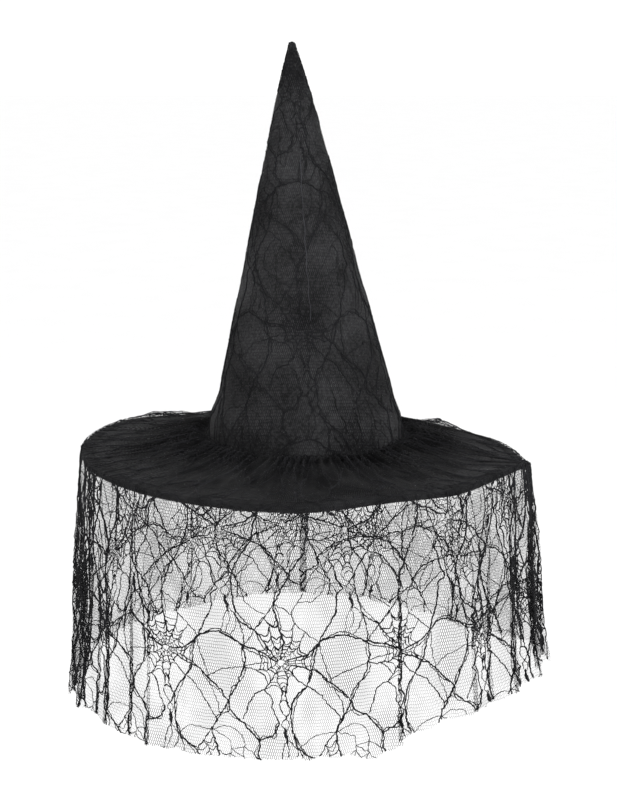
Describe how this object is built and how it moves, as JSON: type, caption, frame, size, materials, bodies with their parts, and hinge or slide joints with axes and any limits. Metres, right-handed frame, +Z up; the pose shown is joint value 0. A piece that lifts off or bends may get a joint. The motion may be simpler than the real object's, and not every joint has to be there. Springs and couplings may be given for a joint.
{
  "type": "pointed witch hat with a lace veil",
  "caption": "Tall pointed cloth crown on a wide wired round brim, covered with cobweb lace that hangs from the brim's edge as an open ring-shaped veil.",
  "frame": {"origin": "centre of the head opening, in the plane of the brim's underside beside the head", "axes": "+Z up through the crown towards its tip, -Y is the wearer's front, +X is the wearer's left"},
  "size_m": [0.5024, 0.5024, 0.6763],
  "materials": {
    "matte_cloth": "plain-woven black polyester with a low sheen",
    "lace_net": "black hexagonal tulle embroidered with cobweb threads",
    "stiffener_felt": "grey-black needled interlining",
    "brim_foam_board": "thin black foam board faced with cloth",
    "lining_cloth": "fine black taffeta",
    "ribbed_ribbon": "black grosgrain with cross ribs",
    "woven_tape": "black woven bias tape",
    "label_satin": "blank white woven satin",
    "sewing_thread": "black twisted polyester thread",
    "hoop_steel": "drawn spring-steel wire",
    "ferrule_aluminium": "crimped thin tube"
  },
  "bodies": {
    "hat": {"crown_lace": "lace_net", "crown_cloth": "matte_cloth", "crown_interlining": "stiffener_felt", "crown_lining": "lining_cloth", "sweatband": "ribbed_ribbon", "crown_seam_tape": "woven_tape", "care_label": "label_satin", "brim_under_cloth": "matte_cloth", "brim_foam": "brim_foam_board", "brim_top_cloth": "matte_cloth", "brim_edge_binding": "woven_tape", "brim_wire": "hoop_steel", "wire_ferrule": "ferrule_aluminium", "head_seam_binding": "woven_tape", "brim_lace": "lace_net", "gathering_thread": "sewing_thread"},
    "veil": {"veil_skirt": "lace_net"}
  },
  "joints": [
    {"name": "veil_gather", "type": "slide", "parent": "hat", "child": "veil", "axis": [0, 0, 1], "range_m": [0, 0.165]}
  ]
}
